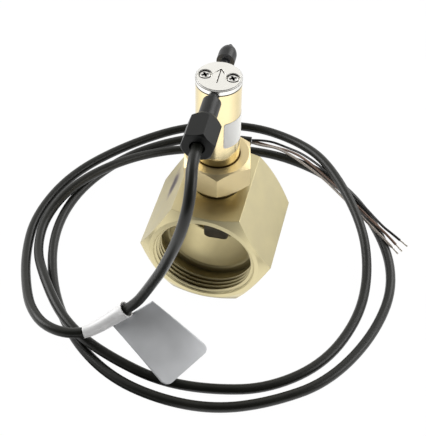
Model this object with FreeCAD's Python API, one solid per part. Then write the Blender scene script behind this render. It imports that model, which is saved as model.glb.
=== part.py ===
"""Paddle flow switch: a hexagonal brass pipe tee with a magnet pendulum in its branch and a reed
cartridge clamped outside the flow, under the cap of the head.

Frame: origin at the middle of the tee's base flat, on the axis of the head. +Z up, +Y with the flow.
Units are millimetres.
"""
import FreeCAD, Part
import math
import os

Vec = FreeCAD.Vector
UP = Vec(0, 0, 1)
FLOW = Vec(0, 1, 0)
ACROSS = Vec(1, 0, 0)

# ---------------------------------------------------------------- driving dimensions
# clearances
running_gap = 0.05          # radial, between a shaft and its hole
seat_gap = 0.05             # radial, between fixed pieces that screw or push together
loose_gap = 0.3             # between pieces that must not touch

# tee, from hexagon bar, with a G 1 1/2 female thread at each end
tee_across_flats = 55.0
tee_length = 50.0
tee_face_d = 53.0           # circle left by the end chamfers
tee_chamfer_angle = 30.0
thread_major_d = 47.803     # G 1 1/2
thread_length = 10.2
mouth_d = 48.8
relief_d = 48.6
relief_length = 4.0
waterway_d = 40.8
waterway_edge = 0.8

# branch thread G 1/2, and the neck bushing that screws into it
branch_thread_d = 20.955
branch_countersink = 0.8
neck_across_flats = 30.0
neck_hex_height = 13.0
neck_stand_off = 6.0        # thread left showing when the paddle stands square to the flow
neck_turn = -16.7           # where the hexagon stops, about Z
neck_face_d = 28.8
neck_base_d = 30.0
neck_bore_d = 15.4
neck_socket_d = 18.0
neck_socket_depth = 7.5
spigot_end_above_waterway = 0.9

# head, a blind tube closed at the top
head_d = 20.0
head_height = 41.0          # from the top of the hexagon to the cap
head_bore_d = 15.0
head_chamber_d = 14.0       # upper bore, in which the magnet swings
head_roof = 5.9             # from the chamber to the bottom of the cartridge groove
head_base_groove = 0.5
o_ring_section = 1.6
o_ring_groove_width = 2.2

head_turn = 2.0             # of the head and all that it carries, against the tee, about Z

# cap and its screws
cap_thickness = 3.0
cap_bevel = 0.65
cap_rim_d = 20.2
screw_spacing = 12.0
screw_thread_d = 3.0
screw_head_d = 5.0
screw_head_height = 1.7
screw_recess_d = 6.4
screw_recess_depth = 1.9
screw_length = 7.0
screw_core_d = 2.5
screw_end_gap = 0.4         # left in the hole below the screw
arrow_length = 9.5
arrow_barb = 4.6
arrow_width = 0.5
arrow_depth = 0.25

# reed cartridge, which slides along the flow in the groove between cap and head
shank_d = 4.2
shank_bore_d = 3.0
cartridge_d = 8.0
cartridge_bore_d = 5.6
front_shoulder = 14.2       # from the head's axis, upstream
rear_shoulder = 13.8
rear_tip = 24.2
nipple_d = 1.8
nipple_length = 1.0
cartridge_travel = 3.0      # each way
gland_thread_length = 9.0
reed_glass_d = 1.8
reed_glass_length = 14.0
reed_wall = 0.25
reed_drop = 0.5             # glass axis below the cartridge's axis
lead_d = 0.4
lead_reach = 3.0

# gland nut and seal
nut_across_flats = 13.0
nut_length = 16.2
nut_start = 26.0            # from the head's axis, upstream
nut_turn = 12.0
nut_mouth_d = 6.6
nut_tail_d = 10.4
nut_tail_length = 2.6
seal_length = 4.0

# pendulum
pivot_height = 86.0
pin_d = 2.0
carrier_d = 14.9
carrier_bore_d = 11.4
carrier_height = 8.0
circlip_section = 1.0
circlip_depth = 0.8
circlip_width = 1.8         # of the ring, radially
circlip_opening = 3.2
hub_d = 5.0
hub_length = 8.0
washer_thickness = 1.0
arm_width = 5.0
arm_thickness = 1.2
magnet_d = 5.0
magnet_height = 5.0
holder_d = 7.0
holder_wall = 1.0
holder_height = 7.0
reset_magnet_d = 4.0
reset_magnet_length = 2.0
blade_width = 12.0
blade_thickness = 1.5
blade_top = 45.5
blade_bottom = 15.4
blade_corner = 2.5
rivet_d = 2.0
rivet_head_d = 3.2
rivet_head_height = 0.6
rivet_pitch = 5.0
rivet_inset = 4.0           # upper rivet below the blade's upper edge
arm_tail = 2.5              # of the arm below the lower rivet

# cable and the three wires at its end
cable_d = 4.8
core_d = 1.3
core_pitch_r = 0.85
stripped_length = 5.0
cable_first_run = 8.8
tag_wall = 0.4              # where the adhesive tag wraps the cable
tag_clearance = 0.1
tag_thickness = 0.4
tag_corner = 4.0
tag_width = 28.0
tag_bends = (9, 10)         # bends of the cable that lie under the wrap, counted along cable_route
tag_root = ((-32.7, -64.4, 16.6), (-16.8, -52.2, 24.6))     # edge of the flag along the wrap
tag_tip = ((-1.6, -84.8, 7), (12.2, -59.3, 7))              # its free edge, over the cable's lower turn

# ---------------------------------------------------------------- heights and places that follow
tee_axis_z = tee_across_flats / 2
tee_top_z = tee_across_flats
neck_z = tee_top_z + neck_stand_off
neck_top_z = neck_z + neck_hex_height
head_top_z = neck_top_z + head_height
cartridge_z = head_top_z
cap_top_z = head_top_z + cap_thickness
chamber_top_z = cartridge_z - shank_d / 2 - head_roof
magnet_z = chamber_top_z - loose_gap * 2 - holder_height / 2
carrier_z = pivot_height - carrier_height / 2
spigot_z = tee_axis_z + waterway_d / 2 + spigot_end_above_waterway
cable_exit_y = -(nut_start + nut_length)

# ---------------------------------------------------------------- cable routes
# Centre line of the cable's jacket after its first straight run out of the gland nut: it droops from
# the nut, lies down in front of the tee and makes two and a half turns round it.
cable_route = [
    (3.6, -59.5, 111.5), (4, -65.3, 105.3), (2.6, -68.2, 97), (0, -68.5, 87), (-4, -67, 74.5),
    (-8.5, -64.5, 61.5), (-13.5, -61.5, 49), (-18, -59, 38), (-22.5, -58, 28.5), (-30, -59.5, 20.5),
    (-42.5, -69, 14), (-52, -72, 13.6), (-62, -70.5, 13.2), (-70.5, -64.5, 11.5), (-80, -52, 7.5),
    (-92.5, -24, 2.5), (-97.5, 4, 2.5), (-89.5, 38, 2.5), (-66.5, 68.5, 2.5), (-38, 92, 2.5), (-3, 101, 2.5), (27, 90, 6),
    (46, 72, 9.8), (68.5, 35, 9.6), (76.5, 7.5, 4), (76, -21, 2.5), (64.5, -51, 2.5), (42, -71, 2.5),
    (16.5, -78, 2.5), (-7, -79, 2.5), (-29, -74.5, 5), (-47, -68.5, 8), (-62, -57, 8), (-76.5, -38.5, 8),
    (-88, -19, 3.5), (-91.5, 3, 4), (-83.5, 25, 8.3), (-65, 49, 8), (-42.5, 69, 3.5), (-11, 79.5, 2.5),
    (19.5, 81, 2.5), (52.5, 68.5, 2.5), (78.5, 38, 2.5), (90, 5, 2.5), (84.5, -29, 2.5), (68, -60.5, 2.5),
    (45, -77.5, 2.5), (21.5, -87.5, 2.5), (-4.5, -88.5, 2.5), (-30.5, -82, 2.5), (-54.5, -64.5, 2.5),
    (-73, -38.5, 2.5), (-84.5, -5, 2.5), (-82, 27.5, 2.5), (-66.5, 57, 2.5), (-45, 76.5, 2.5),
    (-23, 86.5, 2.5), (-1, 88, 2.5)]

# The three cores leave the jacket together, cross over the cable's lower turn and under its upper one.
wire_routes = {
    "wire_black": [(-0.7, 88, 3.35), (4, 88.8, 3.7), (11, 90.8, 2.2), (19, 89, 1.6), (28, 83.8, 4.2), (39.2, 74.8, 6.3),
                   (51.5, 65.3, 6), (66.5, 51.6, 6), (78.7, 38.7, 5.9), (84.5, 35.8, 4.6), (89, 33.4, 3.4)],
    "wire_brown": [(-0.7, 88.75, 2.1), (5, 88.7, 1.4), (13, 87, 2), (21.5, 83.4, 4.6), (30.1, 78.2, 6.3),
                   (42.1, 69.2, 6), (56.7, 56.6, 6), (67.2, 46.5, 6), (77, 37.6, 6), (82.3, 33, 5.8),
                   (87.2, 28.9, 4.6)],
    "wire_grey": [(-0.7, 87.25, 2.1), (5, 86.6, 1.8), (14, 83.8, 4.9), (23, 78.5, 6.4), (31.5, 73.4, 6.2),
                  (42.3, 66.4, 6), (55.8, 54, 6), (66, 44, 6), (75, 35.3, 6), (80.4, 30.6, 6), (85.4, 26.3, 5)],
}


# ---------------------------------------------------------------- small helpers
def place(x=0.0, y=0.0, z=0.0):
    return Vec(x, y, z)


def rod(d, length, base, axis=UP):
    """A cylinder of diameter d that starts at base and runs along axis."""
    return Part.makeCylinder(d / 2, length, base, axis)


def turned(profile, axis=UP, base=None):
    """A solid of revolution. profile lists (radius, height) corners; height runs along axis."""
    corners = [Vec(r, 0, h) for r, h in profile]
    face = Part.Face(Part.makePolygon(corners + corners[:1]))
    solid = face.revolve(Vec(0, 0, 0), UP, 360)
    spin = FreeCAD.Rotation(UP, axis)
    solid.Placement = FreeCAD.Placement(base or Vec(0, 0, 0), spin)
    return solid


def hexagon_bar(across_flats, length, base, axis, turn):
    """A hexagonal prism; at turn 0 one corner lies on the X axis."""
    r = across_flats / 2 / math.cos(math.pi / 6)
    corners = []
    for i in range(6):
        a = math.radians(60 * i + turn)
        if axis == UP:
            corners.append(base + Vec(r * math.cos(a), r * math.sin(a), 0))
        else:
            corners.append(base + Vec(r * math.cos(a), 0, r * math.sin(a)))
    face = Part.Face(Part.makePolygon(corners + corners[:1]))
    return face.extrude(axis * length)


def save(shape, node):
    """Write one node, after checking that it is closed solids."""
    solids = shape.Solids
    if not solids or not shape.isValid():
        raise ValueError(node + " is not a valid solid")
    out = solids[0] if len(solids) == 1 else Part.makeCompound(solids)
    out.exportStep("parts/" + node + ".step")


# ---------------------------------------------------------------- tee
def tee_end_cut(side):
    """Mouth chamfer, thread and runout groove of one end, as a solid to cut; side is -1 or 1."""
    half = tee_length / 2
    thread_r = thread_major_d / 2
    mouth = (mouth_d - thread_major_d) / 2
    thread_end = half - thread_length
    groove_end = thread_end - relief_length
    bore_r = waterway_d / 2
    profile = [(0, half + 1), (mouth_d / 2 + 1, half + 1), (mouth_d / 2, half), (thread_r, half - mouth),
               (thread_r, thread_end), (relief_d / 2, thread_end), (relief_d / 2, groove_end),
               (bore_r + waterway_edge, groove_end), (bore_r, groove_end - waterway_edge), (0, groove_end - waterway_edge)]
    return turned(profile, FLOW * side, place(z=tee_axis_z))


def tee_body():
    half = tee_length / 2
    bar = hexagon_bar(tee_across_flats, tee_length, place(y=-half, z=tee_axis_z), FLOW, 0)
    corner_r = tee_across_flats / 2 / math.cos(math.pi / 6) + 1
    setback = (corner_r - tee_face_d / 2) * math.tan(math.radians(tee_chamfer_angle))
    envelope = turned([(0, -half), (tee_face_d / 2, -half), (corner_r, -half + setback),
                       (corner_r, half - setback), (tee_face_d / 2, half), (0, half)],
                      FLOW, place(z=tee_axis_z))
    body = bar.common(envelope)
    body = body.cut(rod(waterway_d, tee_length, place(y=-half, z=tee_axis_z), FLOW))
    for side in (-1, 1):
        body = body.cut(tee_end_cut(side))
    body = body.cut(rod(branch_thread_d, tee_top_z, place(z=tee_axis_z)))
    countersink = turned([(0, 0), (branch_thread_d / 2, 0), (branch_thread_d / 2 + branch_countersink,
                          branch_countersink), (0, branch_countersink)], UP,
                         place(z=tee_top_z - branch_countersink))
    return body.cut(countersink)


# ---------------------------------------------------------------- neck and head
def neck_bushing():
    """Hexagon with chamfered corners, threaded spigot below, and a socket for the head above."""
    corner_r = neck_across_flats / 2 / math.cos(math.pi / 6) + 1
    rise = math.tan(math.radians(30))
    top_drop = (corner_r - neck_face_d / 2) * rise
    base_lift = (corner_r - neck_base_d / 2) * rise
    hexagon = hexagon_bar(neck_across_flats, neck_hex_height, place(z=neck_z), UP, neck_turn)
    envelope = turned([(0, neck_z), (neck_base_d / 2, neck_z), (corner_r, neck_z + base_lift),
                       (corner_r, neck_top_z - top_drop), (neck_face_d / 2, neck_top_z), (0, neck_top_z)])
    spigot = rod(branch_thread_d - 2 * seat_gap, neck_z - spigot_z, place(z=spigot_z))
    body = hexagon.common(envelope).fuse(spigot)
    body = body.cut(rod(neck_bore_d, neck_top_z, place(z=0)))
    socket = rod(neck_socket_d, neck_socket_depth, place(z=neck_top_z - neck_socket_depth))
    return body.cut(socket).removeSplitter()


def head_housing():
    """Blind tube: a tail in the neck's socket, a chamber for the pendulum and a grooved top."""
    tail_r = neck_socket_d / 2 - seat_gap
    tail_z = neck_top_z - neck_socket_depth + o_ring_groove_width
    body = turned([(0, tail_z), (tail_r, tail_z), (tail_r, neck_top_z), (head_d / 2, neck_top_z),
                   (head_d / 2, head_top_z), (0, head_top_z)])
    shoulder_z = carrier_z + carrier_height
    body = body.cut(rod(head_bore_d, shoulder_z - tail_z, place(z=tail_z)))
    body = body.cut(rod(head_chamber_d, chamber_top_z - tail_z, place(z=tail_z)))
    groove = rod(shank_d + 2 * running_gap, head_d * 2, place(y=-head_d, z=cartridge_z), FLOW)
    body = body.cut(groove)
    for side in (-1, 1):
        bottom = cap_top_z - screw_recess_depth - screw_length - screw_end_gap
        at = place(x=side * screw_spacing / 2, z=bottom)
        body = body.cut(rod(screw_thread_d + 2 * seat_gap, head_top_z - bottom, at))
    clip_z = carrier_z - circlip_section - seat_gap
    body = body.cut(rod(head_bore_d + 2 * circlip_depth, circlip_section + 2 * seat_gap, place(z=clip_z - seat_gap)))
    pocket_start = head_chamber_d / 2 - 1
    pocket_length = 1 + reset_magnet_length + seat_gap
    body = body.cut(rod(reset_magnet_d + 2 * seat_gap, pocket_length, place(y=-pocket_start, z=magnet_z), FLOW * -1))
    return body


def head_o_ring():
    """Ring squeezed between the head's tail and the floor of the neck's socket."""
    floor_z = neck_top_z - neck_socket_depth
    r = neck_socket_d / 2 - o_ring_section / 2 - seat_gap / 2
    ring = Part.makeTorus(r, o_ring_section / 2 - seat_gap / 4, place(z=floor_z + o_ring_groove_width / 2), UP)
    return ring


# ---------------------------------------------------------------- cap
def cap_outline_cut(x):
    """Recess and clearance hole of one cap screw."""
    recess = rod(screw_recess_d, cap_thickness, place(x=x, z=cap_top_z - screw_recess_depth))
    hole = rod(screw_thread_d + 4 * seat_gap, cap_thickness * 2, place(x=x, z=head_top_z - 1))
    return recess.fuse(hole)


def flow_arrow():
    """The flow arrow as a shallow cut: a shaft and two barbs, pointing downstream."""
    bottom = cap_top_z - arrow_depth
    half = arrow_length / 2
    shaft = Part.makeBox(arrow_width, arrow_length, 1, place(-arrow_width / 2, -half, bottom))
    arrow = shaft
    for side in (-1, 1):
        barb = Part.makeBox(arrow_width, arrow_barb, 1, place(-arrow_width / 2, -arrow_barb, bottom))
        barb.Placement = FreeCAD.Placement(place(y=half), FreeCAD.Rotation(UP, side * 35))
        arrow = arrow.fuse(barb)
    return arrow


def cap_plate():
    r = cap_rim_d / 2
    body = turned([(0, head_top_z), (r, head_top_z), (r, cap_top_z - cap_bevel),
                   (r - cap_bevel, cap_top_z), (0, cap_top_z)])
    body = body.cut(rod(shank_d + 2 * running_gap, head_d * 2, place(y=-head_d, z=cartridge_z), FLOW))
    for side in (-1, 1):
        body = body.cut(cap_outline_cut(side * screw_spacing / 2))
    return body.cut(flow_arrow())


def cap_screws():
    """Two pan-head screws, each with a cross recess."""
    screws = []
    for side in (-1, 1):
        x = side * screw_spacing / 2
        seat = cap_top_z - screw_recess_depth
        r = screw_head_d / 2
        dome = 0.45
        screw = turned([(0, seat), (r, seat), (r, seat + screw_head_height - dome),
                        (r - dome, seat + screw_head_height - dome / 3), (0, seat + screw_head_height)],
                       UP, place(x=x))
        screw = screw.fuse(rod(screw_core_d, screw_length, place(x=x, z=seat - screw_length)))
        for turn in (30, 120):
            slot = Part.makeBox(2.8, 0.6, 1.2, place(-1.4, -0.3, 0))
            slot.Placement = FreeCAD.Placement(place(x=x, z=seat + screw_head_height - 1), FreeCAD.Rotation(UP, turn))
            screw = screw.cut(slot)
        screws.append(screw)
    return Part.makeCompound(screws)


# ---------------------------------------------------------------- reed cartridge
def cartridge_body():
    """Moulded holder: domed rear end, thin shank in the head's groove, threaded front tube."""
    r = cartridge_d / 2
    front = -(nut_start + gland_thread_length)
    dome_start = rear_tip - 1.55 * r
    nip = nipple_d / 2
    points = [(0, front), (r, front), (r, -front_shoulder), (shank_d / 2, -front_shoulder),
              (shank_d / 2, rear_shoulder), (r, rear_shoulder), (r, dome_start)]
    corners = [Vec(a, 0, h) for a, h in points]
    drop = r - nip
    rise = rear_tip - dome_start
    chord = math.hypot(drop, rise)
    bulge = chord / 2 * math.tan(math.atan2(drop, rise) / 2)        # leaves the cylinder without a corner
    middle = Vec((r + nip) / 2 + bulge * rise / chord, 0, (dome_start + rear_tip) / 2 + bulge * drop / chord)
    dome = Part.Arc(Vec(r, 0, dome_start), middle, Vec(nip, 0, rear_tip))
    edges = [Part.LineSegment(a, b).toShape() for a, b in zip(corners, corners[1:])]
    edges.append(dome.toShape())
    tail = [Vec(nip, 0, rear_tip), Vec(nip, 0, rear_tip + nipple_length), Vec(0, 0, rear_tip + nipple_length), corners[0]]
    edges += [Part.LineSegment(a, b).toShape() for a, b in zip(tail, tail[1:])]
    body = Part.Face(Part.Wire(edges)).revolve(Vec(0, 0, 0), UP, 360)
    body.Placement = FreeCAD.Placement(place(z=cartridge_z), FreeCAD.Rotation(UP, FLOW))
    wide = -front_shoulder - 2
    body = body.cut(rod(cartridge_bore_d, wide - front, place(y=front, z=cartridge_z), FLOW))
    body = body.cut(rod(shank_bore_d, rear_shoulder + 2 - wide, place(y=wide, z=cartridge_z), FLOW))
    return body


def reed_glass():
    """Sealed glass capsule of the contact, hollow, with a lead through each end."""
    half = reed_glass_length / 2
    z = cartridge_z - reed_drop
    r = reed_glass_d / 2
    body = rod(reed_glass_d, reed_glass_length, place(y=-half, z=z), FLOW)
    body = body.cut(rod(reed_glass_d - 2 * reed_wall, reed_glass_length - 2 * r, place(y=-half + r, z=z), FLOW))
    return body.cut(rod(lead_d, reed_glass_length * 2, place(y=-2 * half, z=z), FLOW))


def reed_leads():
    """Two overlapping contact blades inside the glass, each one piece with its lead."""
    half = reed_glass_length / 2
    z = cartridge_z - reed_drop
    gap = 0.1
    leads = []
    for side in (-1, 1):
        start = place(y=side * (half + lead_reach), z=z)
        lead = rod(lead_d, lead_reach + reed_glass_d / 2 + 1, start, FLOW * -side)
        low = z + gap / 2 if side > 0 else z - gap / 2 - lead_d / 3
        length = half + 0.5
        start_y = -0.8 if side > 0 else 0.8 - length + reed_glass_d / 2
        blade = Part.makeBox(0.9, length - reed_glass_d / 2, lead_d / 3, place(-0.45, start_y, low))
        leads.append(lead.fuse(blade))
    return Part.makeCompound(leads)


def core_ends():
    """The cable's three cores, inside the cartridge, from the jacket's end to the contact."""
    start = -(nut_start - 2)
    length = -front_shoulder - 2.5 - start
    cores = []
    for i in range(3):
        a = math.radians(90 + 120 * i)
        at = place(core_pitch_r * math.cos(a), start, cartridge_z + core_pitch_r * math.sin(a))
        cores.append(rod(core_d, length, at, FLOW))
    return Part.makeCompound(cores)


def cable_tail():
    """The straight stretch of the cable's jacket inside the gland."""
    start = -(nut_start - 2)
    return rod(cable_d, start - cable_exit_y, place(y=cable_exit_y, z=cartridge_z), FLOW)


# ---------------------------------------------------------------- gland
def gland_seal():
    """Rubber sleeve pressed on the cable by the nut, behind the cartridge's threaded end."""
    back = -(nut_start + gland_thread_length + seat_gap)
    outer = cartridge_d / 2 - seat_gap
    inner = cable_d / 2 + running_gap
    return turned([(inner, 0), (outer, 0), (outer, seal_length - 1), (outer - 0.8, seal_length), (inner, seal_length)],
                  FLOW * -1, place(y=back, z=cartridge_z))


def gland_nut():
    """Hexagonal cap nut with a turned tail and a round mouth for the cable."""
    front = -(nut_start + nut_length)
    start = place(y=front, z=cartridge_z)
    hexagon = hexagon_bar(nut_across_flats, nut_length, start, FLOW, nut_turn)
    corner_r = nut_across_flats / 2 / math.cos(math.pi / 6)
    face_r = nut_across_flats / 2 - 0.1
    tail_r = nut_tail_d / 2
    shoulder = nut_length - nut_tail_length
    envelope = turned([(0, 0), (face_r, 0), (corner_r, 0.75), (corner_r, shoulder - 0.9), (corner_r - 1, shoulder + 0.4),
                       (tail_r, nut_length), (0, nut_length)], FLOW, start)
    body = hexagon.common(envelope)
    thread_r = cartridge_d / 2 + seat_gap
    seal_end = nut_length - gland_thread_length - seat_gap - seal_length
    hollow = turned([(0, -1), (nut_mouth_d / 2, -1), (nut_mouth_d / 2, 1), (cable_d / 2 + loose_gap, seal_end - 1.2),
                     (cable_d / 2 + loose_gap, seal_end - seat_gap), (thread_r - 0.8, seal_end - seat_gap),
                     (thread_r, seal_end + 1), (thread_r, nut_length + 1), (0, nut_length + 1)], FLOW, start)
    return body.cut(hollow)


# ---------------------------------------------------------------- pendulum
def pivot_carrier():
    """Ring against the head's shoulder, with a cross hole that holds the pin's ends."""
    ring = rod(carrier_d, carrier_height, place(z=carrier_z)).cut(
        rod(carrier_bore_d, carrier_height, place(z=carrier_z)))
    return ring.cut(rod(pin_d + 2 * seat_gap, carrier_d * 2, place(x=-carrier_d, z=pivot_height), ACROSS))


def carrier_circlip():
    """Internal retaining ring below the carrier, open at the downstream side."""
    z = carrier_z - circlip_section - seat_gap
    outer = head_bore_d + 2 * circlip_depth - 4 * seat_gap
    ring = rod(outer, circlip_section, place(z=z)).cut(rod(outer - 2 * circlip_width, circlip_section, place(z=z)))
    return ring.cut(Part.makeBox(circlip_opening, outer, circlip_section,
                               place(-circlip_opening / 2, 0, z)))


def pivot_pin():
    length = carrier_d - 2 * seat_gap
    return rod(pin_d, length, place(x=-length / 2, z=pivot_height), ACROSS)


def pivot_washers():
    """One spacer each side of the arm's hub."""
    start = hub_length / 2 + running_gap
    washers = []
    for side in (-1, 1):
        at = place(x=side * start, z=pivot_height)
        outer = rod(hub_d - 0.4, washer_thickness, at, ACROSS * side)
        washers.append(outer.cut(rod(pin_d + 2 * running_gap, washer_thickness, at, ACROSS * side)))
    return Part.makeCompound(washers)


def pendulum_arm():
    """Flat strip with a hub at the pivot, a peg for the magnet holder and rivet holes for the blade."""
    bottom = blade_top - rivet_inset - rivet_pitch - arm_tail
    holder_z = magnet_z - holder_height / 2
    strip = Part.makeBox(arm_width, arm_thickness, holder_z - bottom, place(-arm_width / 2, -arm_thickness / 2, bottom))
    corners = [e for e in strip.Edges if abs(e.Vertexes[0].Y - e.Vertexes[1].Y) > arm_thickness / 2
               and e.Vertexes[0].Z < bottom + 0.1]
    strip = strip.makeFillet(arm_width / 2 - 0.6, corners)
    hub = rod(hub_d, hub_length, place(x=-hub_length / 2, z=pivot_height), ACROSS)
    arm = strip.fuse(hub).cut(rod(pin_d + 2 * running_gap, hub_length * 2, place(x=-hub_length, z=pivot_height), ACROSS))
    for i in range(2):
        z = blade_top - rivet_inset - i * rivet_pitch
        arm = arm.cut(rod(rivet_d, arm_thickness * 4, place(y=-arm_thickness * 2, z=z), FLOW))
    return arm.removeSplitter()


def magnet_holder():
    """Cup moulded on the arm's upper end; it keeps the magnet out of the flow medium."""
    z = magnet_z - holder_height / 2
    body = rod(holder_d, holder_height, place(z=z))
    body = body.makeFillet(0.6, [e for e in body.Edges if e.BoundBox.ZLength < 0.01])
    return body.cut(rod(magnet_d, magnet_height, place(z=z + holder_wall)))


def pendulum_magnet():
    return rod(magnet_d, magnet_height, place(z=magnet_z - holder_height / 2 + holder_wall))


def reset_magnet():
    """Fixed magnet of opposite pole in the head's wall, which pushes the pendulum back."""
    start = head_chamber_d / 2
    return rod(reset_magnet_d, reset_magnet_length, place(y=-start, z=magnet_z), FLOW * -1)


def paddle_blade():
    """Rectangular blade with rounded lower corners, on the downstream face of the arm."""
    start = arm_thickness / 2
    height = blade_top - blade_bottom
    blade = Part.makeBox(blade_width, blade_thickness, height, place(-blade_width / 2, start, blade_bottom))
    lower = [e for e in blade.Edges if e.BoundBox.XLength < 0.01 and e.BoundBox.ZLength < 0.01
             and e.BoundBox.ZMax < blade_bottom + 0.1]
    upper = [e for e in blade.Edges if e.BoundBox.XLength < 0.01 and e.BoundBox.ZLength < 0.01
             and e.BoundBox.ZMin > blade_top - 0.1]
    blade = blade.makeFillet(blade_corner, lower + upper)
    for i in range(2):
        at = place(y=-arm_thickness, z=blade_top - rivet_inset - i * rivet_pitch)
        blade = blade.cut(rod(rivet_d, 2 * arm_thickness + blade_thickness, at, FLOW))
    return blade


def paddle_rivets():
    front = -arm_thickness / 2
    back = arm_thickness / 2 + blade_thickness
    rivets = []
    for i in range(2):
        z = blade_top - rivet_inset - i * rivet_pitch
        rivet = rod(rivet_d, back - front, place(y=front, z=z), FLOW)
        rivet = rivet.fuse(rod(rivet_head_d, rivet_head_height, place(y=front, z=z), FLOW * -1))
        rivets.append(rivet.fuse(rod(rivet_head_d, rivet_head_height, place(y=back, z=z), FLOW)))
    return Part.makeCompound(rivets)


# ---------------------------------------------------------------- cable
def rounded_path(points):
    """Straight runs joined by tangent arcs. Returns the wire and the arcs' radii."""
    p = [Vec(*q) for q in points]
    edges = []
    radii = []
    start = p[0]
    for before, here, after in zip(p, p[1:], p[2:]):
        a = (here - before).normalize()
        b = (after - here).normalize()
        half_turn = a.getAngle(b) / 2
        reach = 0.45 * min((here - before).Length, (after - here).Length)
        radius = reach / math.tan(half_turn)
        into = here - a * reach
        out = here + b * reach
        bisector = (b - a).normalize()
        middle = here + bisector * (radius / math.cos(half_turn) - radius)
        edges.append(Part.LineSegment(start, into).toShape())
        edges.append(Part.Arc(into, middle, out).toShape())
        radii.append(radius)
        start = out
    edges.append(Part.LineSegment(start, p[-1]).toShape())
    return Part.Wire(edges), radii


def tube(points, d, name):
    """A round cord of diameter d along the points, with its radii and length printed."""
    path, radii = rounded_path(points)
    first = path.Edges[0]
    direction = first.tangentAt(first.FirstParameter)
    ring = Part.Wire(Part.makeCircle(d / 2, Vec(*points[0]), direction))
    body = path.makePipeShell([ring], True, False)
    ideal = math.pi * d * d / 4 * path.Length
    print("%s: length %.1f, volume over section times length %.4f, radii %s" % (
        name, path.Length, body.Volume / ideal, " ".join("%.0f" % r for r in radii)))
    return body


def jacket_points():
    """The jacket's whole route: straight out of the nut, then cable_route."""
    points = []
    for reach in (0, cable_first_run):
        spot = place(y=cable_exit_y - reach, z=cartridge_z)
        spot = FreeCAD.Rotation(UP, head_turn).multVec(spot)
        points.append((spot.x, spot.y, spot.z))
    return points + cable_route


def wire_tips():
    """The stripped ends of the three cores, in line with each core."""
    tips = []
    for route in wire_routes.values():
        before = Vec(*route[-2])
        end = Vec(*route[-1])
        tips.append(rod(core_d * 0.6, stripped_length, end, end - before))
    return Part.makeCompound(tips)


def cable_tag():
    """Adhesive tag: a sleeve round the cable and the flag that its two ends make, stuck together."""
    first, last = tag_bends
    path, radii = rounded_path(jacket_points())
    # the jacket has two points ahead of cable_route; each bend is one arc after one straight
    arcs = path.Edges[2 * (first + 1) - 1 + 0:2 * (last + 1)]
    spine = Part.Wire(arcs)
    start = arcs[0].valueAt(arcs[0].FirstParameter)
    direction = arcs[0].tangentAt(arcs[0].FirstParameter)
    rings = []
    inner = cable_d / 2 + tag_clearance
    for r in (inner + tag_wall, inner):
        ring = Part.Wire(Part.makeCircle(r, start, direction))
        rings.append(spine.makePipeShell([ring], True, False))
    sleeve = rings[0].cut(rings[1])
    root = Part.LineSegment(Vec(*tag_root[0]), Vec(*tag_root[1])).toShape()
    tip = Part.LineSegment(Vec(*tag_tip[0]), Vec(*tag_tip[1])).toShape()
    sheet = Part.makeRuledSurface(root, tip)
    normal = sheet.Faces[0].normalAt(0.5, 0.5)
    normal = normal * (1 if normal.z > 0 else -1)
    flag = sheet.Faces[0].extrude(normal * tag_thickness)
    outline = [Vec(*c) for c in (tag_root[0], tag_tip[0], tag_tip[1], tag_root[1])]
    flat = [c - normal * ((c - outline[0]).dot(normal) + tag_width) for c in outline]
    prism = Part.Face(Part.makePolygon(flat + flat[:1])).extrude(normal * tag_width * 2)
    corners = [e for e in prism.Edges if abs(e.Length - tag_width * 2) < 0.01
               and min((e.CenterOfMass - c).cross(normal).Length for c in flat[1:3]) < 0.01]
    flag = flag.common(prism.makeFillet(tag_corner, corners))
    return sleeve.fuse(flag)


# ---------------------------------------------------------------- build
FIXED = [tee_body, neck_bushing, wire_tips, cable_tag]
ON_HEAD = [head_housing, head_o_ring, cap_plate, cap_screws, cartridge_body, reed_glass, reed_leads, core_ends,
           cable_tail, gland_seal, gland_nut, pivot_carrier, carrier_circlip, pivot_pin, pivot_washers,
           pendulum_arm, magnet_holder, pendulum_magnet, reset_magnet, paddle_blade, paddle_rivets]


def main():
    os.makedirs("parts", exist_ok=True)
    for make in FIXED:
        save(make(), make.__name__)
    for make in ON_HEAD:
        shape = make()
        shape.rotate(place(), UP, head_turn)
        save(shape, make.__name__)
    save(tube(jacket_points(), cable_d, "cable_jacket"), "cable_jacket")
    for name, route in wire_routes.items():
        save(tube(route, core_d, name), name)


main()
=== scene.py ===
"""Paddle flow switch: looks.

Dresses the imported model: pipe threads, bare rating label, cable, cores, adhesive tag and the finishes of
brass, nickel, moulded plastic, cable sheath and film. Lengths in the property groups are in metres.
"""
import bmesh
import bpy
import math
import numpy as np
from bpy.props import FloatProperty, IntProperty, PointerProperty, StringProperty
from mathutils import Matrix, Vector


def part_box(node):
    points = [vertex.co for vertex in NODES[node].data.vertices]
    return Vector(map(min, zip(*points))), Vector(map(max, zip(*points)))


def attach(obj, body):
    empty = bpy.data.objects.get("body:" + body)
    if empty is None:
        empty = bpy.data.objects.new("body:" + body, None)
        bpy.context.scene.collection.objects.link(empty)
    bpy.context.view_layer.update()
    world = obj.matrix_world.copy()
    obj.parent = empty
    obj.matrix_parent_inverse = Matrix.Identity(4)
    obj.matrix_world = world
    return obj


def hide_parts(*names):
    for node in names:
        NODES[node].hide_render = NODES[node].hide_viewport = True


bl_info = {
    "name": "Paddle flow switch",
    "version": (1, 0, 0),
    "blender": (4, 5, 0),
    "location": "View3D > Sidebar > Flow switch",
    "description": "Builds the visible surfaces and finishes of a brass paddle flow switch",
    "category": "Object",
}

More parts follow.
